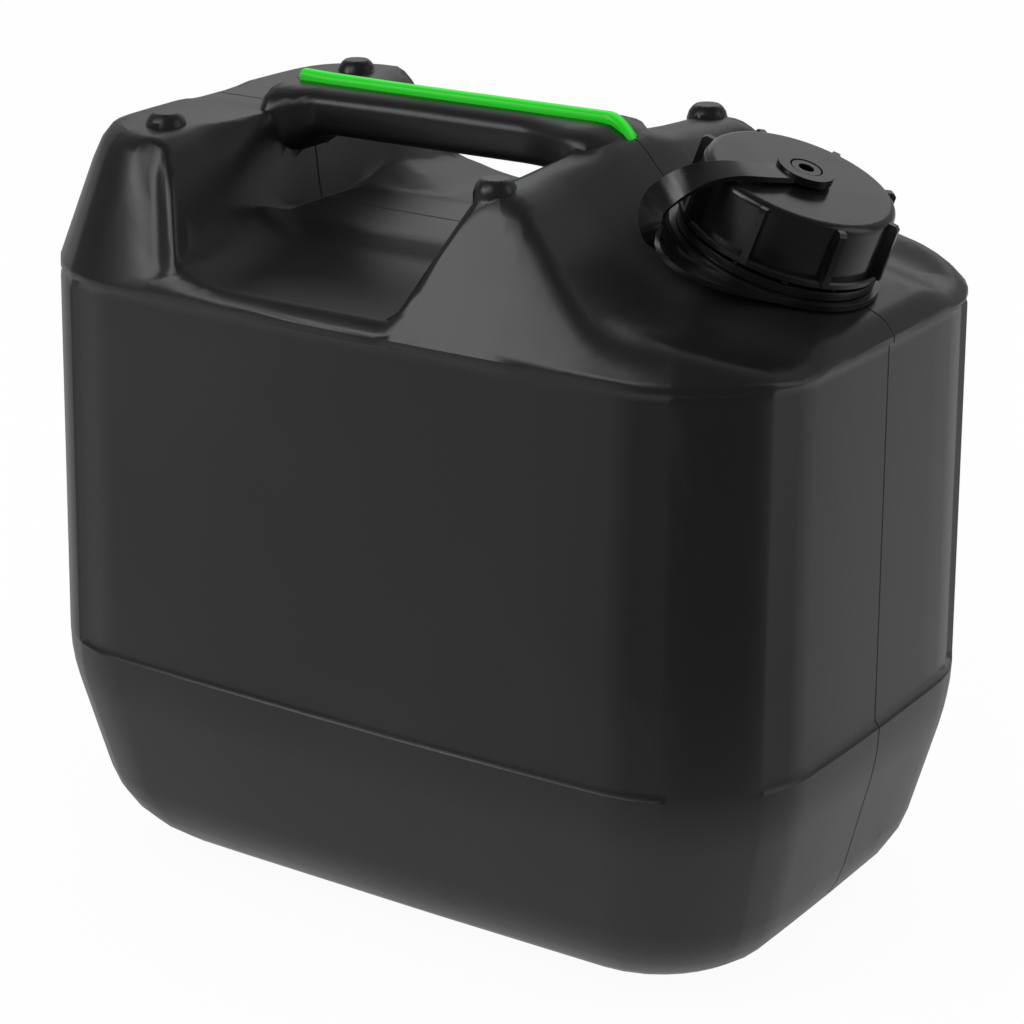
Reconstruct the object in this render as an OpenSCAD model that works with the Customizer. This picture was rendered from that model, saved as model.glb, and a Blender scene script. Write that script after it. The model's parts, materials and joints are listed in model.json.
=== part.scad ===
// Stackable plastic canister with a moulded handle, a tilted neck and a tethered screw cap.
// Millimetres, +Z up, origin on the standing plane under the middle of the body.
// The neck is at +X. The long side that people read is at -Y.

/* [Body] */
// Length of the body at its waist, along X
body_l = 310; // [240:1:400]
// Width of the body at its waist, along Y
body_w = 204; // [160:1:260]
// Height of the shoulder line, where the walls end
shoulder_h = 229; // [160:1:300]
// Radius of the upright corners
corner_r = 48; // [36:1:56]
// How far the short ends swell outwards
bow_end = 3.1; // [0:0.1:5]
// How far the long sides swell outwards
bow_side = 4.1; // [0:0.1:6]
// Wall thickness of the moulding
wall = 2.6; // [2:0.1:4]

/* [Lower body] */
// Height of the ledge under the flat side panels
ledge_h = 90; // [60:1:120]
// How far the panels lie back from the band under them
panel_in = 1.8; // [0.5:0.1:3]
// How far the walls spread between the shoulder and the ledge
spread = 1.8; // [0:0.1:4]
// Height where the body begins to taper
taper_h = 78; // [50:1:110]
// Radius where the walls turn into the taper
taper_round = 90; // [20:1:160]
// Lean of the tapered part in degrees
taper_deg = 13.3; // [5:0.1:20]
// Radius of the bottom edge
base_r = 43; // [20:1:50]
// Depth of the stacking recess in the base
base_recess = 4.5; // [2:0.5:8]

/* [Top] */
// Height of the end hump over the shoulder line
hump_h = 51.5; // [40:0.5:65]
// Length of the end hump, from the body's far end to the hump's wall
hump_x = 69; // [55:1:85]
// Height of the cross ridge over the shoulder line
ridge_h = 50.5; // [40:0.5:65]
// Distance from the body's neck end to the ridge's crest
ridge_x = 109; // [95:1:125]
// Width of the flat crest
ridge_w = 15; // [8:1:24]
// Height of the finger trough's floor at the parting line
trough_h = 16; // [10:0.5:24]
// Height of the trough's floor at its outer lip
lip_h = 7.5; // [4:0.5:12]
// Height of the deck at the neck end
deck_h = 10.5; // [6:0.5:16]
// Height of one stacking nub
nub_h = 4; // [2:0.1:8]
// Diameter of a nub at its foot
nub_d = 16; // [10:0.5:24]
// Distance of the hump's nubs from the parting line
hump_nub_y = 58; // [40:1:70]
// Distance of the ridge's nubs from the parting line
ridge_nub_y = 70; // [40:1:76]

/* [Handle] */
// Height of the handle's underside over the shoulder line
bar_z = 42.3; // [34:0.1:56]
// Height of the bar
bar_h = 18; // [12:0.1:22]
// Width of the bar
bar_w = 27; // [20:0.5:36]
// Width of the coloured strip on the bar
strip_w = 6.2; // [3:0.1:10]
// Height that the strip stands proud of the bar
strip_h = 3.4; // [2:0.1:6]

/* [Neck and cap] */
// Tilt of the neck towards +X, in degrees
neck_tilt = 20; // [0:1:30]
// Where the neck's axis meets the deck, in from the body's neck end
neck_in = 48.2; // [40:0.1:60]
// Where the neck's axis meets the deck, over the shoulder line
neck_z = 20.5; // [14:0.1:28]
// Outside diameter of the neck over its thread
neck_d = 60; // [45:0.5:62]
// Bore of the neck
bore_d = 51; // [36:0.5:54]
// Height of the closed cap's top over the deck, along the neck
cap_top = 33; // [28:0.5:40]
// Height of the cap alone
cap_h = 22.2; // [18:0.1:28]
// Outside diameter of the cap's skirt
cap_d = 68; // [62:0.5:74]
// Thickness of the cap's top plate
cap_plate = 2.4; // [1.5:0.1:4]
// Number of grip ribs
rib_n = 8; // [6:1:16]
// How far a grip rib stands out
rib_out = 3.6; // [1:0.1:5]
// Width of a grip rib
rib_w = 2.6; // [1.5:0.1:5]
// Diameter of the stud that carries the strap
stud_d = 8.4; // [5:0.1:12]

/* [Strap] */
// Width of the strap
strap_w = 10; // [6:0.5:14]
// Thickness of the strap
strap_t = 2; // [1.2:0.1:3]
// Diameter of the strap's eye
eye_d = 20; // [14:0.5:26]

/* [Fits] */
// Radial play between the cap and the thread
thread_gap = 0.35; // [0.2:0.05:0.6]
// Play between loose rings and the neck
ring_gap = 0.4; // [0.2:0.05:0.8]
// Play between stacked pieces along the neck
stack_gap = 0.3; // [0.2:0.05:0.6]

/* [Hidden] */
$fn = 96;
body_col = [0.2, 0.2, 0.21];
cap_col = [0.11, 0.11, 0.12];
strip_col = [0, 0.85, 0.05];
seal_col = [0.5, 0.5, 0.48];

// plan of the body before it swells
half_l = body_l / 2 - bow_end;
half_w = body_w / 2 - bow_side;
core_x = half_l - corner_r;
core_y = half_w - corner_r;
neck_x = body_l / 2 - neck_in;
wall_at = hump_x - body_l / 2;
crest_at = body_l / 2 - ridge_x;

function mix(a, b, t) = a + (b - a) * t;
function unit(t) = min(1, max(0, t));
function ease(a, b, x) = let (t = unit((x - a) / (b - a))) t * t * (3 - 2 * t);
function smin(a, b, k) = min(a, b) - pow(max(k - abs(a - b), 0), 2) / (4 * k);
function smax(a, b, k) = -smin(-a, -b, k);
function span(a, b, n) = [for (i = [0:n - 1]) mix(a, b, i / n)];

// distance inside the outline of the plan
function inside(x, y) =
    let (qx = abs(x) - core_x, qy = abs(y) - core_y)
    corner_r - ((qx > 0 && qy > 0) ? norm([qx, qy]) : max(qx, qy));

// the leaning faces round the top, steeper round the hump, with a flute beside the trough
function flute(x, e) =
    let (at = x - wall_at + 8 - 0.88 * (17 - min(e, 17)))
    1.8 * exp(-pow(at / 4.6, 2)) * ease(1, 5, e)
        + 1.6 * exp(-pow(at / 9, 2)) * ease(12, 16, e) * (1 - ease(18, 23, e));
function face(x, y, e) =
    let (
        long_side = mix(mix(2.65, 2.05, ease(wall_at, 0, x)), 1.25, ease(crest_at + 10, core_x + 10, x)),
        s = mix(x > 0 ? 1.9 : 2.65, long_side, ease(20, 84, abs(y)))
    )
    2.5 + s * (e - flute(x, e));

// floor of the trough, crowned at the parting line
function trough(y) =
    let (a = abs(y))
    mix(trough_h - 0.02 * a, mix(trough_h - 4, lip_h, unit((a - 36) / (half_w - 42))), ease(22, 40, a));
function trough_ramp(x, y) =
    let (a = abs(y), lift = mix(0.5, 0.25, unit((a - 42) / (half_w - 42))))
    trough(y) - 16 * (1 - ease(8, 46, a)) + lift * (wall_at + 28 - x) - 0.5;

// end hump with a shallow channel along its middle and a softly rounded wall
function hump(x, y) =
    let (
        v = ease(10, 60, abs(y)),
        top = hump_h - 1.5 * (1 - ease(11, 20, abs(y))) - 0.018 * max(0, abs(y) - 40),
        wall_x = wall_at + mix(1, 3.7, v) - 9 * ease(40, 95, y),
        side = hump_h - 17.5 - mix(8, 3, v) * (x - wall_x)
    )
    smin(top, smax(side, min(trough_ramp(x, y), hump_h - 22), 5), mix(20, 34, v));

// cross ridge, steep towards the trough, higher under the handle and running out into the deck
function ridge(x, y) =
    let (
        a = abs(y),
        crest = ridge_h + 4 * (1 - ease(10, 70, a)) + 2.5 * (1 - ease(9, 24, a)),
        left = ridge_h + 2.2 * (x - crest_at + ridge_w / 2 + 1.3),
        mid = ridge_h + 7 - 1.25 * (x - crest_at - ridge_w / 2 + 1),
        side = ridge_h - (x - crest_at - ridge_w / 2)
    )
    smin(crest, smin(left, mix(mid, side, ease(8, 56, a)), 4), 6);

// deck round the neck, dished between the neck's seat and the rim
function deck(x, y) =
    let (
        a = abs(y),
        run = half_l - 8 - x,
        mid = deck_h - 1 + 0.32 * run,
        rim = deck_h - 2 + 0.15 * run,
        dish = 4 * ease(36, 56, a) * (1 - ease(60, 84, a)) + 3 * ease(0, 30, a) * ease(30, 60, run)
    )
    mix(mid, rim, ease(20, 78, a)) - dish;

function relief(x, y) =
    let (
        low = x < crest_at ? trough(y) : deck(x, y),
        r = smax(low, ridge(x, y), x < crest_at ? 9 : 14)
    )
    smax(r, hump(x, y), 3.5);

function top_z(x, y) =
    let (e = inside(x, y))
    smin(face(x, y, e), relief(x, y), mix(13, 7.5, ease(-core_x - 12, wall_at - 2, x)));

// surface drawn back by a wall thickness in every direction
function core_z(x, y, t) =
    min([
        top_z(x, y) - t * 1.3,
        for (r = [t, 2 * t], k = [0:7]) top_z(x + r * cos(45 * k), y + r * sin(45 * k)) - 0.4 * t
    ]);

// swelling of the long sides and the short ends
function swell(p) =
    let (u = p[0] / half_l, v = p[1] / half_w)
    [
        p[0] + bow_end * u * abs(u) * max(0, 1 - v * v),
        p[1] + bow_side * v * abs(v) * max(0, 1 - u * u),
        p[2]
    ];

// points round the plan: the rectangle's stations, pushed out by the reach, with fanned corners
function loop(xs, ys, fan, ax, ay, reach) =
    let (
        sx = ax / core_x,
        sy = ay / core_y,
        nx = len(xs) - 1,
        ny = len(ys) - 1
    )
    concat(
        [for (i = [0:nx - 1]) [xs[i] * sx, -ay - reach]],
        [for (f = fan) let (t = f - 90) [ax + reach * cos(t), -ay + reach * sin(t)]],
        [for (i = [0:ny - 1]) [ax + reach, ys[i] * sy]],
        [for (t = fan) [ax + reach * cos(t), ay + reach * sin(t)]],
        [for (i = [0:nx - 1]) [xs[nx - i] * sx, ay + reach]],
        [for (f = fan) let (t = f + 90) [-ax + reach * cos(t), ay + reach * sin(t)]],
        [for (i = [0:ny - 1]) [-ax - reach, ys[ny - i] * sy]],
        [for (f = fan) let (t = f + 180) [-ax + reach * cos(t), -ay + reach * sin(t)]]
    );

// stations that lean with the edge of the hump's wall, in the rows near the rim
function lean(xs, e) =
    let (far = 0.88 * (17 - min(e, 17)) * ease(0, 4, e))
    [for (x = xs) x + far * ease(-core_x, wall_at - 11, x) * (1 - ease(wall_at + 7, wall_at + 34, x))];

// index of the inner rectangle's point beside each point of a loop
function seat(nx, ny, nc) = concat(
    [for (i = [0:nx - 1]) i],
    [for (k = [0:nc - 1]) nx],
    [for (i = [0:ny - 1]) nx + i * (nx + 1)],
    [for (k = [0:nc - 1]) nx + ny * (nx + 1)],
    [for (i = [0:nx - 1]) nx - i + ny * (nx + 1)],
    [for (k = [0:nc - 1]) ny * (nx + 1)],
    [for (i = [0:ny - 1]) (ny - i) * (nx + 1)],
    [for (k = [0:nc - 1]) 0]
);

// side of the body as steps of height, push outwards and corner radius, from the shoulder down
base_turn = base_r * (1 - sin(taper_deg));
base_push = spread - (taper_h - base_turn) * tan(taper_deg) - base_r * cos(taper_deg);
turn_top = taper_h + taper_round * tan(taper_deg / 2);
function side_steps(t, n) = concat(
    t > 0 ? [] : [[shoulder_h - 1, -0.7, 0.5]],
    [
        [shoulder_h - 4, 0.1, 1],
        [ledge_h + 1.3, spread, 1],
        [ledge_h - 1.3, spread, 0]
    ],
    [
        for (k = [0:3])
            let (a = taper_deg * k / 3)
                [min(turn_top, ledge_h - 1.5) - taper_round * sin(a), spread - taper_round * (1 - cos(a)), 0]
    ],
    [
        for (k = [0:n])
            let (a = mix(taper_deg, 90, k / n), clear = t > 0 ? t + base_recess * k / n : 0)
                [base_r * (1 - sin(a)) + clear, base_push + base_r * cos(a), 0]
    ],
    t > 0 ? [] : [[0, base_push - 7, 0], [base_recess, base_push - 11, 0], [base_recess, base_push - 12, 0]]
);

// outline of the walls, pushed out from the plan at the shoulder
function walls(xs, ys, fan, push) =
    let (r = max(corner_r + 0.47 * push, 7))
    loop(xs, ys, fan, half_l + push - r, half_w + push - r, r);

// the flat panels reach a little way round the corners
function on_panel(i, nx, ny, fan) =
    let (
        nc = len(fan),
        j = i % (nx + ny + 2 * nc),
        k = j < nx + nc ? j - nx : j - nx - nc - ny
    )
    j < nx || (j >= nx + nc && j < nx + nc + ny) || abs(fan[k] - 45) > 20;

// some stations of the sides, and all of the corners, for the walls below the shoulder
function kept(nx, ny, nc, every) = [
    for (i = [0:2 * (nx + ny) + 4 * nc - 1])
        let (
            h = nx + nc + ny + nc,
            j = i % h,
            on_corner = (j >= nx && j < nx + nc) || j >= nx + nc + ny,
            k = j < nx ? j : j - nx - nc
        )
            if (on_corner || k % every == 0) i
];

// closed skin of the body: t is how far it is drawn back inside the outer surface
module skin(xs, ys, fan, es, t, n) {
    nx = len(xs) - 1;
    ny = len(ys) - 1;
    nc = len(fan);
    m = (nx + 1) * (ny + 1);
    full = 2 * (nx + ny) + 4 * nc;
    flat = concat(
        [for (y = ys, x = xs) [x, y]],
        [for (e = es) each loop(lean(xs, e), ys, fan, core_x, core_y, corner_r - e)]
    );
    top = [for (p = flat) [p[0], p[1], shoulder_h + (t > 0 ? core_z(p[0], p[1], t) : top_z(p[0], p[1]))]];
    line = [
        for (p = loop(xs, ys, fan, core_x, core_y, corner_r - t)) [p[0], p[1], shoulder_h - (t > 0 ? 2 : 0)]
    ];
    keep = kept(nx, ny, nc, t > 0 ? 2 : 4);
    thin = len(keep);
    sides = [
        for (w = side_steps(t, n))
            let (
                band = walls(xs, ys, fan, w[1] - t),
                panel = walls(xs, ys, fan, w[1] - t - panel_in * w[2])
            )
                for (i = keep) let (p = on_panel(i, nx, ny, fan) ? panel[i] : band[i]) [p[0], p[1], w[0]]
    ];
    pts = [for (p = concat(top, line, sides)) swell(p)];
    s = seat(nx, ny, nc);
    rims = len(es);
    below = m + (rims + 1) * full;
    steps = len(side_steps(t, n));
    faces = concat(
        [
            for (j = [0:ny - 1], i = [0:nx - 1])
                let (a = i + j * (nx + 1)) each fit(top, a, a + 1, a + nx + 2, a + nx + 1)
        ],
        [for (i = [0:full - 1]) let (k = (i + 1) % full) each fit(top, m + i, m + k, s[k], s[i])],
        [
            for (j = [1:rims], i = [0:full - 1])
                let (k = (i + 1) % full, b = m + j * full, a = b - full)
                    each (j < rims ? fit(top, b + i, b + k, a + k, a + i) : quad(b + i, b + k, a + k, a + i))
        ],
        [
            for (j = [0:thin - 1])
                let (u = keep[j], v = j < thin - 1 ? keep[j + 1] : full, a = below - full)
                    each concat(
                        [for (i = [u:v - 1]) [a + i, a + (i + 1) % full, below + j]],
                        [[below + j, a + v % full, below + (j + 1) % thin]]
                    )
        ],
        [
            for (j = [1:steps - 1], i = [0:thin - 1])
                let (k = (i + 1) % thin, b = below + j * thin, a = b - thin)
                    each quad(b + i, b + k, a + k, a + i)
        ],
        [[for (i = [0:thin - 1]) below + (steps - 1) * thin + i]]
    );
    polyhedron(
        points = pts,
        faces = [for (f = faces) if (f[0] != f[1] && f[1] != f[2] && f[0] != f[2]) f],
        convexity = 10
    );
}

// the diagonal of a quad that lies nearer the true surface
function fit(top, a, b, c, d) =
    let (
        x = (top[a][0] + top[b][0] + top[c][0] + top[d][0]) / 4,
        y = (top[a][1] + top[b][1] + top[c][1] + top[d][1]) / 4,
        z = shoulder_h + top_z(x, y),
        ac = abs((top[a][2] + top[c][2]) / 2 - z),
        bd = abs((top[b][2] + top[d][2]) / 2 - z)
    )
    (a == b || c == d || ac <= bd) ? quad(a, b, c, d) : [[a, d, b], [d, c, b]];

// a quad as two triangles, clockwise from outside
function quad(a, b, c, d) = [[a, d, c], [a, c, b]];

// bar of the handle, flared into the hump and the ridge
bar_from = wall_at - 17;
bar_to = crest_at + 9;
function bar_rise(x) = shoulder_h + bar_z + bar_h / 2 + 0.8 * ease(-60, crest_at - 10, x)
    - 11 * (1 - ease(bar_from - 3, wall_at - 8, x)) - 0.045 * pow(max(0, x - crest_at + 5), 2);
function bar_flare(x) = 1.3 - 1.3 * ease(wall_at - 8, wall_at + 16, x) + ease(crest_at - 34, crest_at - 4, x);
function bar_tip(x) = 1 - 0.5 * pow(1 - unit(min(x - bar_from, bar_to - x) / 13), 2);
function squarish(c) = sign(c) * pow(abs(c), 0.62);
module bar(t) {
    x0 = bar_from + t;
    x1 = bar_to - t;
    rows_in = t > 0 ? 5 : 10;
    left = wall_at + 12;
    right = crest_at - 34;
    xs = concat(span(x0, left, rows_in), span(left, right, 2), span(right, x1, rows_in - 2), [x1]);
    n = 16;
    rows = [
        for (x = xs)
            let (
                deep = 4 * (1 - ease(wall_at - 3, left, x)),
                w = (bar_w / 2 + 7 * bar_flare(x)) * bar_tip(x) - t,
                h = bar_h / 2 + deep - t
            )
                [
                    for (k = [0:n - 1])
                        let (a = 360 * (k + 0.5) / n, y = w * squarish(cos(a)), z = h * squarish(sin(a)))
                            [x, y, bar_rise(x) - deep + z]
                ]
    ];
    m = len(rows);
    polyhedron(
        points = [for (r = rows) each r],
        faces = concat(
            [[for (k = [0:n - 1]) k]],
            [
                for (j = [0:m - 2], k = [0:n - 1])
                    let (p = (k + 1) % n, a = j * n, b = a + n) each quad(a + p, b + p, b + k, a + k)
            ],
            [[for (k = [0:n - 1]) (m - 1) * n + n - 1 - k]]
        )
    );
}

module at_neck() translate([neck_x, 0, shoulder_h + neck_z]) rotate([0, neck_tilt, 0]) children();

neck_r = neck_d / 2;
tube_r = neck_r - 1.5;
cap_r = cap_d / 2;
cap_z = cap_top - cap_h;
seal_t = 1.6;
seal_z = cap_top - cap_plate - seal_t - 0.1;
neck_top = seal_z - stack_gap / 2;
hoop_h = 2.8;
hoop_r = cap_r + rib_out - 0.9;
collar_top = 3.4;
ring_t = 2.4;
ring_z = collar_top + stack_gap;
ring_r = cap_r + 4.2;
band_z = ring_z + ring_t + stack_gap;
band_top = cap_z - stack_gap - 1;
eye_z = cap_top + 1.2;
eye_t = 2.8;
eye_seat = 1.4;
head_z = eye_z + eye_seat + stack_gap;

module canister_body() color(body_col) difference() {
    union() {
        skin(outer_x, outer_y, outer_fan, outer_e, 0, 7);
        bar(0);
        at_neck() {
            translate([0, 0, -16]) cylinder(h = neck_top + 16, r = tube_r);
            translate([0, 0, -16]) cylinder(h = collar_top + 16, r1 = tube_r + 9, r2 = tube_r + 4);
        }
        for (s = [-1, 1]) {
            translate([wall_at - 23, s * hump_nub_y, shoulder_h + hump_h]) nub();
            translate([crest_at - 5, s * ridge_nub_y, shoulder_h + ridge_h]) nub();
        }
    }
    skin(core_xs, core_ys, core_fan, core_e, wall, 4);
    bar(wall);
    groove();
    at_neck() translate([0, 0, -22]) cylinder(h = neck_top + 23, r = bore_d / 2);
}

module nub() rotate_extrude($fn = 48) polygon([
    [0, -5], [nub_d / 2 - 0.4, -5], [nub_d / 2 - 0.4, -1], [nub_d / 2 - 1.2, nub_h * 0.4],
    [nub_d / 2 - 2.4, nub_h - 0.8], [nub_d / 2 - 3.4, nub_h], [0, nub_h]
]);

// coloured bead let into the top of the handle: its line, its groove and its rounded section
strip_from = wall_at - 5;
strip_to = crest_at + 6;
strip_deep = 1.2;
function strip_seat(x) = bar_rise(x) + bar_h / 2 - 0.02 * pow(max(0, x - crest_at + 4), 2)
    + 0.4 * (1 - ease(strip_from, wall_at + 14, x));
strip_xs = concat(
    [strip_from],
    span(strip_from + 0.7, crest_at - 6, 10),
    span(crest_at - 6, strip_to - 0.7, 6),
    [strip_to - 0.7, strip_to]
);
module groove() {
    low = [for (x = strip_xs) [x, strip_seat(x) - strip_deep - 0.05]];
    top = strip_seat(strip_from) + strip_h + 6;
    translate([0, strip_w / 2 + 0.05, 0]) rotate([90, 0, 0]) linear_extrude(strip_w + 0.1) polygon(concat(
        [[strip_to + 0.05, top], [strip_from - 0.05, top], [strip_from - 0.05, low[0][1]]],
        low,
        [[strip_to + 0.05, low[len(low) - 1][1]]]
    ));
}

module handle_strip() color(strip_col) {
    m = len(strip_xs);
    arc = [for (k = [0:6]) let (a = 30 * k) [cos(a), sin(a)]];
    n = len(arc) + 2;
    rows = [
        for (i = [0:m - 1])
            let (x = strip_xs[i], w = strip_w / 2, end = (i == 0 || i == m - 1) ? 0.75 : 1, z = strip_seat(x))
                concat(
                    [[x, w * end, z - strip_deep]],
                    [for (c = arc) [x, w * end * c[0], z + (strip_h - w * 0.75 + w * 0.75 * c[1]) * end]],
                    [[x, -w * end, z - strip_deep]]
                )
    ];
    polyhedron(
        points = [for (r = rows) each r],
        faces = concat(
            [[for (k = [0:n - 1]) k]],
            [
                for (j = [0:m - 2], k = [0:n - 1])
                    let (p = (k + 1) % n, a = j * n, b = a + n) each quad(a + p, b + p, b + k, a + k)
            ],
            [[for (k = [0:n - 1]) (m - 1) * n + n - 1 - k]]
        )
    );
}

// cap: skirt, top plate, grip ribs, hoop and stud
module screw_cap() color(cap_col) at_neck() {
    difference() {
        union() {
            rotate_extrude() polygon(concat(
                [[0, cap_z], [cap_r, cap_z]],
                [for (a = [0:15:90]) [cap_r - 3 + 3 * cos(a), cap_top - 3 + 3 * sin(a)]],
                [[0, cap_top]]
            ));
            rotate_extrude() polygon([
                [cap_r - 1, cap_z], [hoop_r - 0.6, cap_z], [hoop_r, cap_z + 0.6],
                [hoop_r, cap_z + hoop_h - 0.6], [hoop_r - 0.6, cap_z + hoop_h], [cap_r - 1, cap_z + hoop_h]
            ]);
            for (k = [0:rib_n - 1]) rotate([0, 0, 360 * k / rib_n + 9]) grip_rib();
            translate([0, 0, cap_top - 1]) cylinder(h = head_z - cap_top + 1.9, r = stud_d / 2);
            translate([0, 0, head_z]) cylinder(h = 0.9, r = stud_d / 2 + 1);
        }
        translate([0, 0, cap_z - 1]) cylinder(h = cap_h - cap_plate + 1, r = neck_r + thread_gap);
        translate([0, 0, cap_top + 0.4]) cylinder(h = 5, r = stud_d / 2 - 1.4);
    }
}

// upright fin, tapered at its top
module grip_rib() rotate([90, 0, 0]) linear_extrude(rib_w, center = true) polygon([
    [cap_r - 1, cap_z + 1], [cap_r + rib_out, cap_z + 1], [cap_r + rib_out - 0.4, cap_top - 2.2],
    [cap_r + rib_out - 1.6, cap_top - 1], [cap_r - 1.2, cap_top - 1]
]);

module cap_seal() color(seal_col) at_neck() translate([0, 0, seal_z]) difference() {
    cylinder(h = seal_t, r = neck_r - 0.2);
    translate([0, 0, -1]) cylinder(h = seal_t + 2, r = bore_d / 2 - 2);
}

// band that stays on the neck when the cap first comes off, with its bridging pips
module tamper_ring() color(cap_col) at_neck() {
    difference() {
        translate([0, 0, band_z]) cylinder(h = band_top - band_z, r = hoop_r - 1);
        translate([0, 0, band_z - 1]) cylinder(h = band_top - band_z + 2, r = tube_r + ring_gap);
    }
    for (k = [0:11]) rotate([0, 0, 30 * k + 4])
        translate([hoop_r - 3, 0, band_top - 0.2]) cylinder(h = 1.2, r = 1.1);
}

// strap: a flat moulding that leaves its ring, curls up and passes over the cap to the eye
strap_line = [
    [20, -27, 0], [11, -36, 0], [1, -43.5, 0], [-9.5, -47, 0.3], [-19.5, -46.5, 2.2], [-26.5, -43.5, 6.5],
    [-28.5, -42, 13], [-25, -41, 20.5], [-19.5, -37, 27.5], [-13.5, -29, 31], [-7, -18, 31.4],
    [-2.6, -7.5, 31]
];
strap_turn = [60, 63, 60, 53, 37, 17, 6, 6, 12, 17, 17, 17];
function knot(v, i) = v[min(max(i, 0), len(v) - 1)];
function smooth(v, u) =
    let (i = floor(u), t = u - i, a = knot(v, i - 1), b = knot(v, i), c = knot(v, i + 1), d = knot(v, i + 2))
    0.5 * (2 * b + (c - a) * t + (2 * a - 5 * b + 4 * c - d) * t * t + (3 * b - 3 * c + d - a) * t * t * t);
module strap_band() {
    n = 44;
    us = [for (i = [0:n]) 11 * i / n];
    wide = ring_r / 38.2;
    lift = (eye_z - ring_z) / 31.6;
    at = [for (u = us) let (p = smooth(strap_line, u)) [p[0] * wide, p[1] * wide, p[2] * lift]];
    rings = [
        for (i = [0:n])
            let (
                way = at[min(i + 1, n)] - at[max(i - 1, 0)],
                turn = smooth(strap_turn, us[i]),
                flat = [cos(turn), -sin(turn), 0],
                w = flat - way * (flat * way) / (way * way),
                side = w / norm(w),
                up = cross(way / norm(way), side)
            )
                [
                    for (c = [[-1, -1], [1, -1], [1, 1], [-1, 1]])
                        at[i] + [0, 0, ring_z + ring_t / 2]
                            + side * c[0] * strap_w / 2 + up * c[1] * strap_t / 2
                ]
    ];
    polyhedron(
        points = [for (r = rings) each r],
        faces = concat(
            [[0, 1, 2, 3]],
            [
                for (j = [0:n - 1], k = [0:3])
                    let (p = (k + 1) % 4, a = 4 * j, b = a + 4) each quad(a + p, b + p, b + k, a + k)
            ],
            [[4 * n + 3, 4 * n + 2, 4 * n + 1, 4 * n]]
        )
    );
}
module tether_strap() color(cap_col) at_neck() {
    difference() {
        union() {
            translate([0, 0, ring_z]) cylinder(h = ring_t, r = ring_r);
            strap_band();
            translate([0, 0, eye_z]) cylinder(h = eye_t, r = eye_d / 2);
        }
        translate([0, 0, ring_z - 1]) cylinder(h = ring_t + 2, r = tube_r + ring_gap);
        translate([0, 0, eye_z - 2]) cylinder(h = eye_t + 3, r = stud_d / 2 + ring_gap);
        translate([0, 0, eye_z + eye_seat]) cylinder(h = eye_t, r = stud_d / 2 + 1.6);
    }
}

outer_x = concat(
    span(-core_x, wall_at - 11, 2),
    span(wall_at - 11, wall_at - 1, 4),
    span(wall_at - 1, wall_at + 7, 7),
    span(wall_at + 7, wall_at + 34, 5),
    span(wall_at + 34, crest_at - 36, 3),
    span(crest_at - 36, crest_at + 14, 14),
    span(crest_at + 14, core_x, 6),
    [core_x]
);
outer_y = concat(span(-core_y, core_y, 14), [core_y]);
outer_fan = [0, 12, 24, 27, 36, 45, 54, 63, 66, 78];
outer_e = [38, 30, 24.5, 20.5, 17, 13.5, 10.5, 8, 5.8, 4, 2.6, 1.2, 0.1];
core_xs = concat(
    span(-core_x, wall_at - 4, 2),
    span(wall_at - 4, wall_at + 6, 4),
    span(wall_at + 6, wall_at + 36, 3),
    span(wall_at + 36, crest_at - 36, 2),
    span(crest_at - 36, crest_at + 14, 7),
    span(crest_at + 14, core_x, 3),
    [core_x]
);
core_ys = concat(span(-core_y, core_y, 8), [core_y]);
core_fan = [0, 22.5, 45, 67.5];
core_e = [34, 25, 18, 12, 7.5, 4.5, wall + 0.2];

canister_body();
handle_strip();
screw_cap();
cap_seal();
tamper_ring();
tether_strap();
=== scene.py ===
"""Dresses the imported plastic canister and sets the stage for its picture.

Everything is in metres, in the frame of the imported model: +Z up, +X towards the neck.
"""

import json
import math

import bpy
from mathutils import Matrix, Vector


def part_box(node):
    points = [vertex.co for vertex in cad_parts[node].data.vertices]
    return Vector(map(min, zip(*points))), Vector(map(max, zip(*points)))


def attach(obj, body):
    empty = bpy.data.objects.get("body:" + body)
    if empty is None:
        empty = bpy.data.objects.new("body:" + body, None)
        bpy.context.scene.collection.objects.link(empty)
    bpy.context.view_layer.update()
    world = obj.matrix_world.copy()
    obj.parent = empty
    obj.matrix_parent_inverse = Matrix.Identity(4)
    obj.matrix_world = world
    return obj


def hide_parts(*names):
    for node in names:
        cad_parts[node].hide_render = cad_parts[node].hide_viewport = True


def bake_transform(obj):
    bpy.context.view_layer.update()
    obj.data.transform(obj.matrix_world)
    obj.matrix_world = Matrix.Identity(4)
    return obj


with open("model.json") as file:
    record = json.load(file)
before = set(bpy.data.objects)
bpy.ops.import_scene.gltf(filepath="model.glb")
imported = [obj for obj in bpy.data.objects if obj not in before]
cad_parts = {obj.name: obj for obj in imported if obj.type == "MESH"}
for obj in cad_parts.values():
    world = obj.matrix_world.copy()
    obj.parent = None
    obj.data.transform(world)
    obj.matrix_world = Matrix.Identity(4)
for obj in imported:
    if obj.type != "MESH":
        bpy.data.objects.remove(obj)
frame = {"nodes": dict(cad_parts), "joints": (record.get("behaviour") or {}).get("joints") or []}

bl_info = {
    "name": "Plastic canister",
    "version": (1, 0, 0),
    "blender": (4, 5, 0),
    "location": "3D View > Sidebar > Canister",
    "description": "Dresses a plastic canister with a screw cap and sets a soft white stage",
    "category": "Object",
}

MM = 0.001
MERGE = 0.002 * MM  # corners that are nearer than this become one
FLAT = 0.5  # degrees; faces that turn less than this become one
CREASE = 35.0  # degrees; edges that are sharper than this stay sharp
BODY_CREASE = 32.0
BEAD_CREASE = 50.0
THREAD_CREASE = 30.0
THREAD_STEPS = 48  # in one turn

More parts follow.
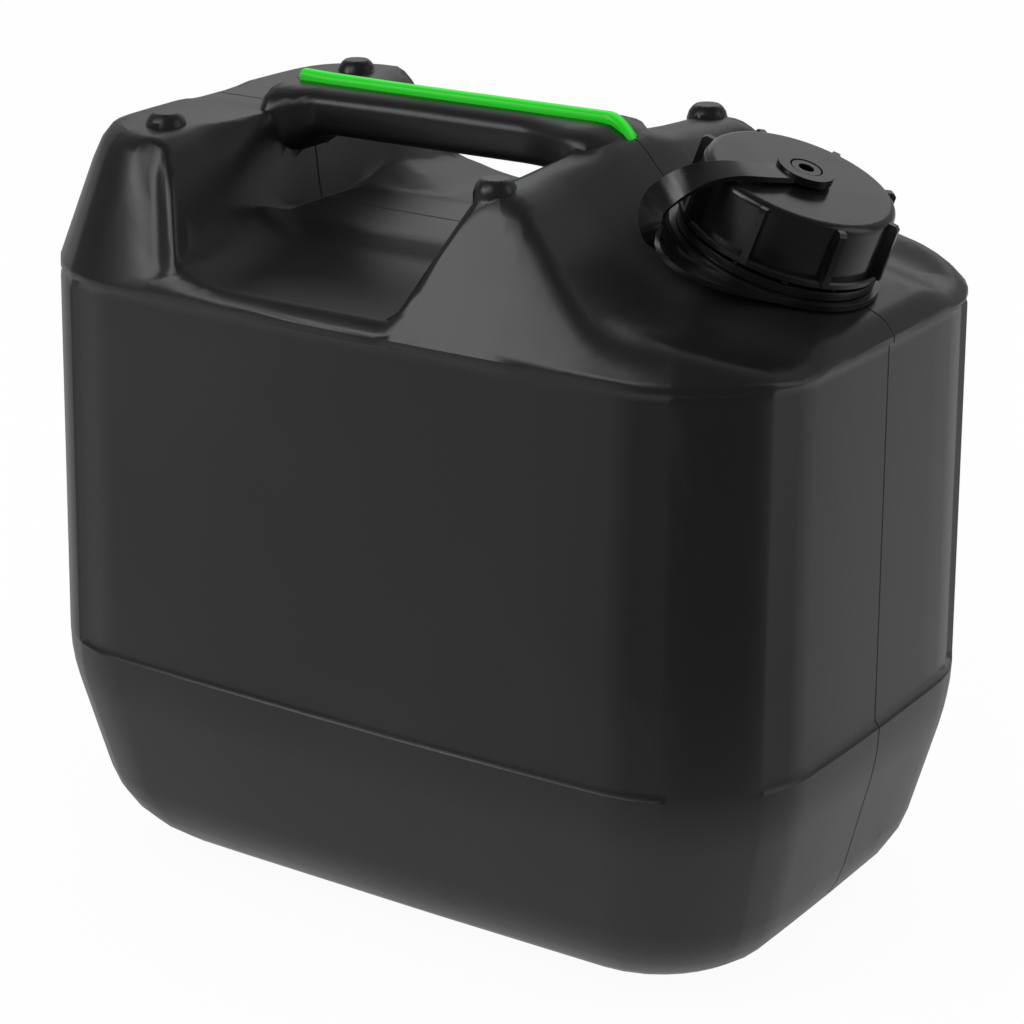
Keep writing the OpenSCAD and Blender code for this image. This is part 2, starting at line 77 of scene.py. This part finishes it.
# Each lamp's place and size; its power is a setting of the same name
LAMP_AIM = (0.0, 0.0, 0.15)
LAMPS = {
    "left_lamp": ((-0.75, -1.06, 0.95), (0.6, 0.6)),
    "front_lamp": ((-0.2, -1.1, 1.2), (0.6, 0.6)),
    "right_lamp": ((1.2, 0.5, 0.7), (0.7, 1.0)),
    "back_lamp": ((-0.6, 1.3, 0.9), (1.2, 0.6)),
}
FLOOR_SIZE = 12.0
FLOOR_DROP = 0.2 * MM  # under the standing plane, so that the two don't coincide
SENSOR_WIDTH = 36.0  # of the camera, in millimetres


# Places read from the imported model


def joint(name):
    """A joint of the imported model, by name."""
    return next(j for j in frame["joints"] if j["name"] == name)


NECK_FOOT = Vector(joint("cap_turn")["pos_m"])
NECK_AXIS = Vector(joint("cap_turn")["axis"]).normalized()
NECK_TILT = math.atan2(NECK_AXIS.x, NECK_AXIS.z)
NECK = Matrix.Translation(NECK_FOOT) @ Matrix.Rotation(NECK_TILT, 4, "Y")
STRIP_LOW, STRIP_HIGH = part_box("handle_strip")


# Settings


def length(name, description, default, least=0.0):
    """A length that can be set."""
    return bpy.props.FloatProperty(
        name=name, description=description, default=default, min=least, precision=5, unit="LENGTH"
    )


def angle(name, description, degrees):
    """An angle that can be set."""
    return bpy.props.FloatProperty(
        name=name, description=description, default=math.radians(degrees), subtype="ANGLE"
    )


def number(name, description, default):
    """A plain number that can be set, such as a lamp's power or how many turns a thread has."""
    return bpy.props.FloatProperty(name=name, description=description, default=default, min=0.0, precision=3)


def colour(name, description, default):
    """A colour that can be set."""
    return bpy.props.FloatVectorProperty(
        name=name, description=description, default=default, min=0.0, max=1.0, size=3, subtype="COLOR"
    )


class CanisterSizes(bpy.types.PropertyGroup):
    """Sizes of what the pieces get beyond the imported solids"""

    edge: length("Edge rounding", "Radius of the small edges of the cap and the strap", 0.45 * MM)
    band_edge: length("Band rounding", "Radius of the edges of the tamper band", 0.315 * MM)
    seal_edge: length("Seal rounding", "Radius of the edges of the sealing ring", 0.27 * MM)
    bead_edge: length("Bead rounding", "Radius of the edges of the coloured bead", 0.5 * MM)
    seam_width: length("Parting line width", "Half width of the line between the mould's halves", 0.45 * MM)

    pitch: length("Thread pitch", "Rise of the thread in one turn", 6.0 * MM, 1.0 * MM)
    thread_start: length("Thread start", "Height over the neck's foot where its thread begins", 12.6 * MM)
    neck_radius: length("Neck radius", "Outside radius of the plain neck under its thread", 28.5 * MM)
    thread_radius: length("Thread radius", "Outside radius of the neck's thread", 30.0 * MM)
    thread_root: length("Thread root", "Width of the neck's thread at the neck", 3.4 * MM)
    thread_crest: length("Thread crest", "Width of the neck's thread at its crest", 1.6 * MM)
    thread_sunk: length("Thread depth in the neck", "How deep the thread starts in the neck's wall", 0.3 * MM)
    thread_turns: number("Thread turns", "Turns of the neck's thread", 2.4)

    cap_bore: length("Cap bore", "Inside radius of the cap's skirt", 30.35 * MM)
    cap_root: length("Cap thread root", "Width of the cap's thread at the skirt", 2.4 * MM)
    cap_crest: length("Cap thread crest", "Width of the cap's thread at its crest", 1.0 * MM)
    cap_sunk: length("Thread depth in the cap", "How deep the thread starts in the skirt's wall", 0.2 * MM)
    cap_gap: length("Thread clearance", "Gap between the neck and the cap's thread", 0.35 * MM)
    cap_turns: number("Cap thread turns", "Turns of the cap's thread", 1.5)


class CanisterColours(bpy.types.PropertyGroup):
    """Colours of the finishes"""

    body: colour("Body", "Black of the moulded body", (0.006, 0.006, 0.0065))
    body_worn: colour("Body, dull patches", "Greyer black of scuffs and dust", (0.012, 0.012, 0.0125))
    body_line: colour("Parting line", "Black in the mould's parting line", (0.001, 0.001, 0.001))
    cap: colour("Cap", "Black of the cap, its rings and the strap", (0.0035, 0.0035, 0.0038))
    bead: colour("Bead", "Green of the bead on the handle", (0.0, 0.58, 0.0))
    # Painted highlight: lighter green along the middle of the bead, where light falls on its rounded crown
    bead_painted_highlight: colour("Bead, core", "Lighter green along the middle of the bead", (0.006, 0.95, 0.01))
    seal: colour("Seal", "Grey of the sealing ring", (0.42, 0.42, 0.4))
    floor: colour("Floor", "White of the floor", (0.9, 0.9, 0.9))


class CanisterStage(bpy.types.PropertyGroup):
    """The camera and the light"""

    lens: bpy.props.FloatProperty(
        name="Lens", description="Focal length of the camera in millimetres", default=108.13, unit="CAMERA"
    )
    azimuth: angle("Azimuth", "Turn of the camera round the canister, from its long side", 33.218)
    elevation: angle("Elevation", "Height of the camera over the horizon", 19.761)
    roll: angle("Roll", "Turn of the camera about its line of sight", 0.430)
    shoulder: length("Shoulder height", "Height of the shoulder line that the camera is set out from", 0.229)
    distance: length("Distance", "From the camera to the plane through the middle of the shoulder", 1.11002)
    aside: length("Step aside", "How far the camera stands to the right", 1.514 * MM)
    down: length("Step down", "How far the camera stands below the shoulder's middle", 86.342 * MM)

    left_lamp: number("Left lamp", "Power of the lamp at the front left", 4.2)
    front_lamp: number("Front lamp", "Power of the high lamp in front of the long side", 2.6)
    right_lamp: number("Right lamp", "Power of the large lamp at the back right", 2.0)
    back_lamp: number("Back lamp", "Power of the lamp behind the canister", 1.2)

    room_light: number("Room light", "Light of the room on everything", 0.85)
    room_shine: number("Room shine", "Brightness of the room in reflections", 0.1)
    sweep_shine: number("Sweep shine", "What the room's bright side adds in reflections", 0.22)
    floor_shine: number("Floor shine", "Brightness of the floor in reflections", 0.58)
    dark_drop: number("Dark side drop", "What the floor's unlit side loses in reflections", 0.46)
    dark_side: angle("Dark side", "Turn of the room's unlit side, from the canister's long side", 52.0)
    bright_side: angle("Bright side", "Turn of the room's bright side, from its unlit side", 150.0)


def sizes():
    """The sizes that are set in the sidebar."""
    return bpy.context.scene.canister_sizes


def colours():
    """The colours that are set in the sidebar."""
    return bpy.context.scene.canister_colours


def stage():
    """The stage settings of the sidebar."""
    return bpy.context.scene.canister_stage


# Finishes


class Wire:
    """A shader socket that takes part in Python expressions"""

    def __init__(self, finish, socket):
        self.finish = finish
        self.socket = socket

    def math(self, operation, *others):
        """The result of a Math node whose first value is this one."""
        values = {0: self, **dict(enumerate(others, 1))}
        return self.finish.node("ShaderNodeMath", {"operation": operation}, values)

    def __add__(self, other):
        return self.math("ADD", other)

    def __mul__(self, other):
        return self.math("MULTIPLY", other)

    def __sub__(self, other):
        return self.math("SUBTRACT", other)

    def __rsub__(self, other):
        return self * -1.0 + other

    def __abs__(self):
        return self.math("ABSOLUTE")

    __radd__ = __add__
    __rmul__ = __mul__

    def ramp(self, low, high):
        """0 below low, 1 above high, and smooth between them."""
        settings = {"interpolation_type": "SMOOTHSTEP"}
        values = {"Value": self, "From Min": low, "From Max": high}
        return self.finish.node("ShaderNodeMapRange", settings, values)

    def least(self, other):
        """The smaller of two values."""
        return self.math("MINIMUM", other)


class Finish:
    """A material and its nodes"""

    def __init__(self, name):
        self.material = bpy.data.materials.new(name)
        self.material.use_nodes = True
        self.tree = self.material.node_tree
        self.shader = self.tree.nodes["Principled BSDF"]
        self.out = self.tree.nodes["Material Output"]

    def node(self, kind, settings=None, values=None, output=0):
        """A node of any kind: its settings first, then the values or links of its sockets."""
        made = self.tree.nodes.new(kind)
        for key, value in (settings or {}).items():
            setattr(made, key, value)
        for key, value in (values or {}).items():
            self.plug(made.inputs[key], value)
        return Wire(self, made.outputs[output])

    def plug(self, socket, value):
        """Gives a socket a value or a link."""
        if isinstance(value, Wire):
            self.tree.links.new(value.socket, socket)
        else:
            socket.default_value = value

    def surface(self, **values):
        """Values or links of the shader's sockets, named as in Blender with underscores."""
        for key, value in values.items():
            self.plug(self.shader.inputs[key.replace("_", " ")], value)

    def place(self):
        """The point of the piece that is being coloured."""
        return self.node("ShaderNodeTexCoord", output="Object")

    def axis(self, name):
        """One coordinate of a point, in metres."""
        return self.node("ShaderNodeSeparateXYZ", values={"Vector": self.place()}, output=name)

    def noise(self, scale, detail=2.0, rough=0.5, stretch=(1.0, 1.0, 1.0)):
        """Noise from 0 to 1, with scale in grains a metre."""
        where = self.node("ShaderNodeMapping", values={"Vector": self.place(), "Scale": stretch})
        values = {"Vector": where, "Scale": scale, "Detail": detail, "Roughness": rough}
        return self.node("ShaderNodeTexNoise", values=values)

    def mix(self, share, first, second):
        """A colour between two colours."""
        pair = [c if isinstance(c, Wire) else (*c, 1.0) for c in (first, second)]
        settings = {"data_type": "RGBA"}
        return self.node("ShaderNodeMix", settings, {0: share, 6: pair[0], 7: pair[1]}, output=2)

    def bump(self, height, distance):
        """A normal from a height of 0 to 1 that stands for a distance in metres."""
        values = {"Height": height, "Distance": distance, "Strength": 1.0}
        return self.node("ShaderNodeBump", values=values)


def body_finish():
    """Blow-moulded black polyethylene: satin, faintly mottled, with scuffs and the mould's parting line."""
    made = Finish("Moulded black skin")
    c, s = colours(), sizes()
    cloud = made.noise(9.0, 3.0).ramp(0.42, 0.68)
    scuff = made.noise(60.0, 5.0, 0.65, (1.0, 1.0, 0.35)).ramp(0.58, 0.78)
    across = abs(made.axis("Y"))
    line = 1.0 - across.ramp(s.seam_width * 0.4, s.seam_width * 1.6)
    dull = (cloud * 0.55 + scuff * 0.35).least(1.0)
    grain = made.noise(1500.0, 2.0)
    pits = made.noise(260.0, 2.0)
    height = grain * 0.3 + pits * 0.5 - line * 3.0
    made.surface(
        Base_Color=made.mix(line * 0.8, made.mix(dull, c.body, c.body_worn), c.body_line),
        Roughness=0.32 + cloud * 0.05 + scuff * 0.10 + line * 0.3,
        Normal=made.bump(height, 0.07 * MM),
    )
    return made.material


def cap_finish():
    """Injection-moulded black plastic, glossier than the body, with faint flow marks."""
    made = Finish("Glossy black moulding")
    c = colours()
    flow = made.noise(45.0, 3.0, 0.55).ramp(0.45, 0.75)
    grain = made.noise(900.0, 2.0)
    rubbed = made.noise(220.0, 4.0, 0.7).ramp(0.6, 0.8)
    made.surface(
        Base_Color=made.mix(flow * 0.5 + rubbed * 0.2, c.cap, c.body_worn),
        Roughness=0.2 + flow * 0.06 + rubbed * 0.12,
        Normal=made.bump(grain * 0.5 + flow * 0.5, 0.04 * MM),
    )
    return made.material


def bead_finish():
    """Vivid green plastic with a painted highlight: a lighter band along its middle."""
    made = Finish("Green bead plastic")
    c = colours()
    half = (STRIP_HIGH.y - STRIP_LOW.y) / 2
    # Painted highlight along the bead's crown, set a little towards the front and varied by the streaks
    painted_highlight = 1.0 - abs(made.axis("Y") + half * 0.12).ramp(half * 0.12, half * 0.62)
    grain = made.noise(600.0, 2.0)
    streak = made.noise(40.0, 2.0, 0.5, (0.2, 4.0, 1.0))
    made.surface(
        Base_Color=made.mix(painted_highlight * (0.75 + streak * 0.25), c.bead, c.bead_painted_highlight),
        Roughness=0.34 + grain * 0.08,
        Normal=made.bump(grain, 0.02 * MM),
    )
    return made.material


def seal_finish():
    """Soft grey sealing foam."""
    made = Finish("Soft seal")
    c = colours()
    grain = made.noise(1800.0, 3.0)
    cloud = made.noise(120.0, 3.0)
    made.surface(
        Base_Color=made.mix(cloud, c.seal, tuple(v * 0.8 for v in c.seal)),
        Roughness=0.75 + grain * 0.1,
        Normal=made.bump(grain, 0.08 * MM),
    )
    return made.material


# Modelling helpers


def alone(piece):
    """Selects one object and nothing else."""
    if bpy.context.object and bpy.context.object.mode != "OBJECT":
        bpy.ops.object.mode_set(mode="OBJECT")
    bpy.ops.object.select_all(action="DESELECT")
    piece.select_set(True)
    bpy.context.view_layer.objects.active = piece


def edit(piece):
    """Opens one object for editing, with all of its mesh selected."""
    alone(piece)
    bpy.ops.object.mode_set(mode="EDIT")
    bpy.ops.mesh.select_all(action="SELECT")


def copy_of(node, name):
    """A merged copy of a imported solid, with its flat faces joined."""
    piece = bpy.data.objects.new(name, frame["nodes"][node].data.copy())
    bpy.context.scene.collection.objects.link(piece)
    edit(piece)
    bpy.ops.mesh.remove_doubles(threshold=MERGE)
    bpy.ops.mesh.dissolve_limited(angle_limit=math.radians(FLAT))
    bpy.ops.object.mode_set(mode="OBJECT")
    return piece


def modifier(piece, kind, **settings):
    """Adds a modifier and applies it."""
    alone(piece)
    bpy.ops.object.modifier_add(type=kind)
    made = piece.modifiers[-1]
    for key, value in settings.items():
        setattr(made, key, value)
    bpy.ops.object.modifier_apply(modifier=made.name)


def soften(piece, width, steps=2, least=38.0):
    """Rounds the edges of a piece that turn more than a number of degrees."""
    modifier(
        piece,
        "BEVEL",
        width=width,
        segments=steps,
        limit_method="ANGLE",
        angle_limit=math.radians(least),
        use_clamp_overlap=True,
    )


def finish_piece(piece, body, material, crease=CREASE, stands_for=()):
    """Shades a piece, gives it its material and ties it to the body that it moves with."""
    alone(piece)
    bpy.ops.object.shade_smooth_by_angle(angle=math.radians(crease))
    modifier(piece, "WEIGHTED_NORMAL", keep_sharp=True)
    piece.data.materials.clear()
    piece.data.materials.append(material)
    if stands_for:
        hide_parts(*stands_for)
    if body:
        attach(piece, body)
    return piece


def thread(name, inner, outer, inner_width, outer_width, start, turns):
    """A helical ridge round the neck's axis, with its widths at the inner and at the outer radius."""
    bpy.ops.object.select_all(action="DESELECT")
    bpy.ops.mesh.primitive_plane_add(size=1.0)
    piece = bpy.context.object
    piece.name = name
    for corner in piece.data.vertices:
        far = corner.co.x > 0
        half = (outer_width if far else inner_width) / 2
        corner.co = (outer if far else inner, 0.0, math.copysign(half, corner.co.y))
    modifier(
        piece,
        "SCREW",
        angle=math.radians(360.0 * turns),
        screw_offset=sizes().pitch * turns,
        steps=int(THREAD_STEPS * turns),
        render_steps=int(THREAD_STEPS * turns),
        use_merge_vertices=False,
    )
    edit(piece)
    bpy.ops.mesh.remove_doubles(threshold=MERGE)
    bpy.ops.mesh.fill_holes(sides=8)
    bpy.ops.mesh.normals_make_consistent(inside=False)
    bpy.ops.object.mode_set(mode="OBJECT")
    piece.matrix_world = NECK @ Matrix.Translation((0.0, 0.0, start))
    bpy.context.view_layer.update()
    bpy.ops.object.transform_apply(location=True, rotation=True, scale=True)
    return piece


# The pieces


class CANISTER_OT_body(bpy.types.Operator):
    """Dresses the moulded body"""

    bl_idname = "canister.body"
    bl_label = "Body"

    def execute(self, context):
        piece = copy_of("canister_body", "body_shell")
        skin = body_finish()
        finish_piece(piece, "canister", skin, BODY_CREASE, ["canister_body"])
        s = sizes()
        ridge = thread(
            "neck_thread",
            s.neck_radius - s.thread_sunk,
            s.thread_radius,
            s.thread_root,
            s.thread_crest,
            s.thread_start,
            s.thread_turns,
        )
        finish_piece(ridge, "canister", skin, THREAD_CREASE)
        return {"FINISHED"}


class CANISTER_OT_bead(bpy.types.Operator):
    """Dresses the green bead on the handle"""

    bl_idname = "canister.bead"
    bl_label = "Bead"

    def execute(self, context):
        piece = copy_of("handle_strip", "handle_bead")
        soften(piece, sizes().bead_edge, 4, 50.0)
        finish_piece(piece, "canister", bead_finish(), BEAD_CREASE, ["handle_strip"])
        return {"FINISHED"}


class CANISTER_OT_cap(bpy.types.Operator):
    """Dresses the screw cap and gives it its thread"""

    bl_idname = "canister.cap"
    bl_label = "Cap"

    def execute(self, context):
        s = sizes()
        gloss = cap_finish()
        piece = copy_of("screw_cap", "cap_shell")
        soften(piece, s.edge)
        finish_piece(piece, "cap", gloss, CREASE, ["screw_cap"])
        ridge = thread(
            "cap_thread",
            s.neck_radius + s.cap_gap,
            s.cap_bore + s.cap_sunk,
            s.cap_crest,
            s.cap_root,
            s.thread_start + s.pitch / 2,
            s.cap_turns,
        )
        finish_piece(ridge, "cap", gloss, THREAD_CREASE)
        return {"FINISHED"}


class CANISTER_OT_seal(bpy.types.Operator):
    """Dresses the sealing ring"""

    bl_idname = "canister.seal"
    bl_label = "Seal"

    def execute(self, context):
        piece = copy_of("cap_seal", "sealing_ring")
        soften(piece, sizes().seal_edge)
        finish_piece(piece, "seal", seal_finish(), CREASE, ["cap_seal"])
        return {"FINISHED"}


class CANISTER_OT_rings(bpy.types.Operator):
    """Dresses the tamper band and the tether strap"""

    bl_idname = "canister.rings"
    bl_label = "Band and strap"

    def execute(self, context):
        gloss = cap_finish()
        band = copy_of("tamper_ring", "tamper_band")
        soften(band, sizes().band_edge)
        finish_piece(band, "canister", gloss, CREASE, ["tamper_ring"])
        strap = copy_of("tether_strap", "tether_strap_skin")
        soften(strap, sizes().edge, 2, 42.0)
        finish_piece(strap, None, gloss, CREASE, ["tether_strap"])
        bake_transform(strap)
        return {"FINISHED"}


# The stage


def lamp(name, place, aim, size, power):
    """A soft square lamp that points at a place."""
    bpy.ops.object.select_all(action="DESELECT")
    turn = (Vector(aim) - Vector(place)).to_track_quat("-Z", "Y").to_euler()
    bpy.ops.object.light_add(type="AREA", location=place, rotation=turn)
    made = bpy.context.object
    made.name = name
    made.data.shape = "RECTANGLE"
    made.data.size, made.data.size_y = size
    made.data.energy = power
    return made


def rays(made):
    """1 for the rays that come straight from the camera, and 1 for those of reflections and glass."""
    kinds = ("Is Camera Ray", "Is Glossy Ray", "Is Transmission Ray")
    camera, glossy, through = (made.node("ShaderNodeLightPath", output=kind) for kind in kinds)
    return camera, glossy + through


def facing(made, output, turn):
    """How squarely a way faces a turn round the room: 1 straight at it, 0 across it, -1 away from it."""
    way = made.node("ShaderNodeTexCoord", output=output)
    way = made.node("ShaderNodeVectorMath", {"operation": "NORMALIZE"}, {0: way})
    values = {0: way, 1: (math.sin(turn), -math.cos(turn), 0.0)}
    return made.node("ShaderNodeVectorMath", {"operation": "DOT_PRODUCT"}, values, output="Value")


def floor_finish():
    """White floor that keeps a soft shadow and has an unlit side in reflections."""
    made = Finish("White floor")
    s = stage()
    made.surface(Base_Color=(*colours().floor, 1.0), Roughness=0.9)
    direct, mirrored = rays(made)
    out = made.node("ShaderNodeVectorMath", {"operation": "LENGTH"}, {0: made.place()}, output="Value")
    dark = facing(made, "Object", s.dark_side).ramp(0.35, 0.85) * out.ramp(0.2, 0.45)
    strength = direct + mirrored * (s.floor_shine - dark * s.dark_drop)
    glow = made.node("ShaderNodeEmission", values={"Color": (1.0, 1.0, 1.0, 1.0), "Strength": strength})
    values = {0: direct * 0.95 + mirrored, 1: Wire(made, made.shader.outputs[0]), 2: glow}
    made.plug(made.out.inputs["Surface"], made.node("ShaderNodeMixShader", values=values))
    return made.material


class World(Finish):
    """The nodes of the world"""

    def __init__(self, name):
        self.world = bpy.data.worlds.new(name)
        self.world.use_nodes = True
        self.tree = self.world.node_tree
        self.sky = self.tree.nodes["Background"]


class CANISTER_OT_stage(bpy.types.Operator):
    """Sets the floor, the lamps, the world and the camera"""

    bl_idname = "canister.stage"
    bl_label = "Stage"

    def execute(self, context):
        s = stage()
        scene = context.scene
        bpy.ops.object.select_all(action="DESELECT")
        place = (0.0, 0.0, -FLOOR_DROP)
        bpy.ops.mesh.primitive_grid_add(x_subdivisions=4, y_subdivisions=4, size=FLOOR_SIZE, location=place)
        floor = context.object
        floor.name = "floor"
        floor.data.materials.append(floor_finish())

        for name, (place, size) in LAMPS.items():
            lamp(name, place, LAMP_AIM, size, getattr(s, name))

        world = World("Soft white room")
        world.plug(world.sky.inputs["Color"], (1.0, 1.0, 1.0, 1.0))
        direct, mirrored = rays(world)
        sweep = facing(world, "Generated", s.dark_side + s.bright_side).ramp(0.0, 0.75)
        room = (1.0 - mirrored) * s.room_light + mirrored * (sweep * s.sweep_shine + s.room_shine)
        world.plug(world.sky.inputs["Strength"], room + direct * (1.0 - room))
        scene.world = world.world
        scene.view_settings.view_transform = "Standard"

        sin_a, cos_a = math.sin(s.azimuth), math.cos(s.azimuth)
        sin_e, cos_e = math.sin(s.elevation), math.cos(s.elevation)
        back = Vector((sin_a * cos_e, -cos_a * cos_e, sin_e))
        level = Vector((cos_a, sin_a, 0.0))
        up = back.cross(level)
        right = level * math.cos(s.roll) + up * math.sin(s.roll)
        upright = up * math.cos(s.roll) - level * math.sin(s.roll)
        place = Vector((0.0, 0.0, s.shoulder)) + right * s.aside - upright * s.down + back * s.distance
        turn = Matrix((right, upright, back)).transposed().to_4x4()
        bpy.ops.object.camera_add(location=place, rotation=turn.to_euler())
        camera = context.object
        camera.name = "camera"
        camera.data.lens = s.lens
        camera.data.sensor_width = SENSOR_WIDTH
        camera.data.clip_start = 0.05
        camera.data.clip_end = 50.0
        scene.camera = camera
        return {"FINISHED"}


class CANISTER_PT_panel(bpy.types.Panel):
    """The canister's pieces and settings"""

    bl_idname = "CANISTER_PT_panel"
    bl_label = "Plastic canister"
    bl_space_type = "VIEW_3D"
    bl_region_type = "UI"
    bl_category = "Canister"

    def draw(self, context):
        layout = self.layout
        for step in STEPS:
            layout.operator(step.bl_idname)
        for group in (sizes(), colours(), stage()):
            box = layout.box()
            for key in group.bl_rna.properties.keys():
                if key not in ("rna_type", "name"):
                    box.prop(group, key)


STEPS = [
    CANISTER_OT_stage,
    CANISTER_OT_body,
    CANISTER_OT_bead,
    CANISTER_OT_cap,
    CANISTER_OT_seal,
    CANISTER_OT_rings,
]
GROUPS = {
    "canister_sizes": CanisterSizes,
    "canister_colours": CanisterColours,
    "canister_stage": CanisterStage,
}


def register():
    for group in GROUPS.values():
        bpy.utils.register_class(group)
    for step in STEPS:
        bpy.utils.register_class(step)
    bpy.utils.register_class(CANISTER_PT_panel)
    for name, group in GROUPS.items():
        setattr(bpy.types.Scene, name, bpy.props.PointerProperty(type=group))


def unregister():
    for name in GROUPS:
        delattr(bpy.types.Scene, name)
    bpy.utils.unregister_class(CANISTER_PT_panel)
    for step in reversed(STEPS):
        bpy.utils.unregister_class(step)
    for group in GROUPS.values():
        bpy.utils.unregister_class(group)


def main():
    """Makes the whole scene."""
    register()
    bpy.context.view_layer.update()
    bpy.ops.canister.stage()
    bpy.ops.canister.body()
    bpy.ops.canister.bead()
    bpy.ops.canister.cap()
    bpy.ops.canister.seal()
    bpy.ops.canister.rings()


if __name__ == "__main__":
    main()
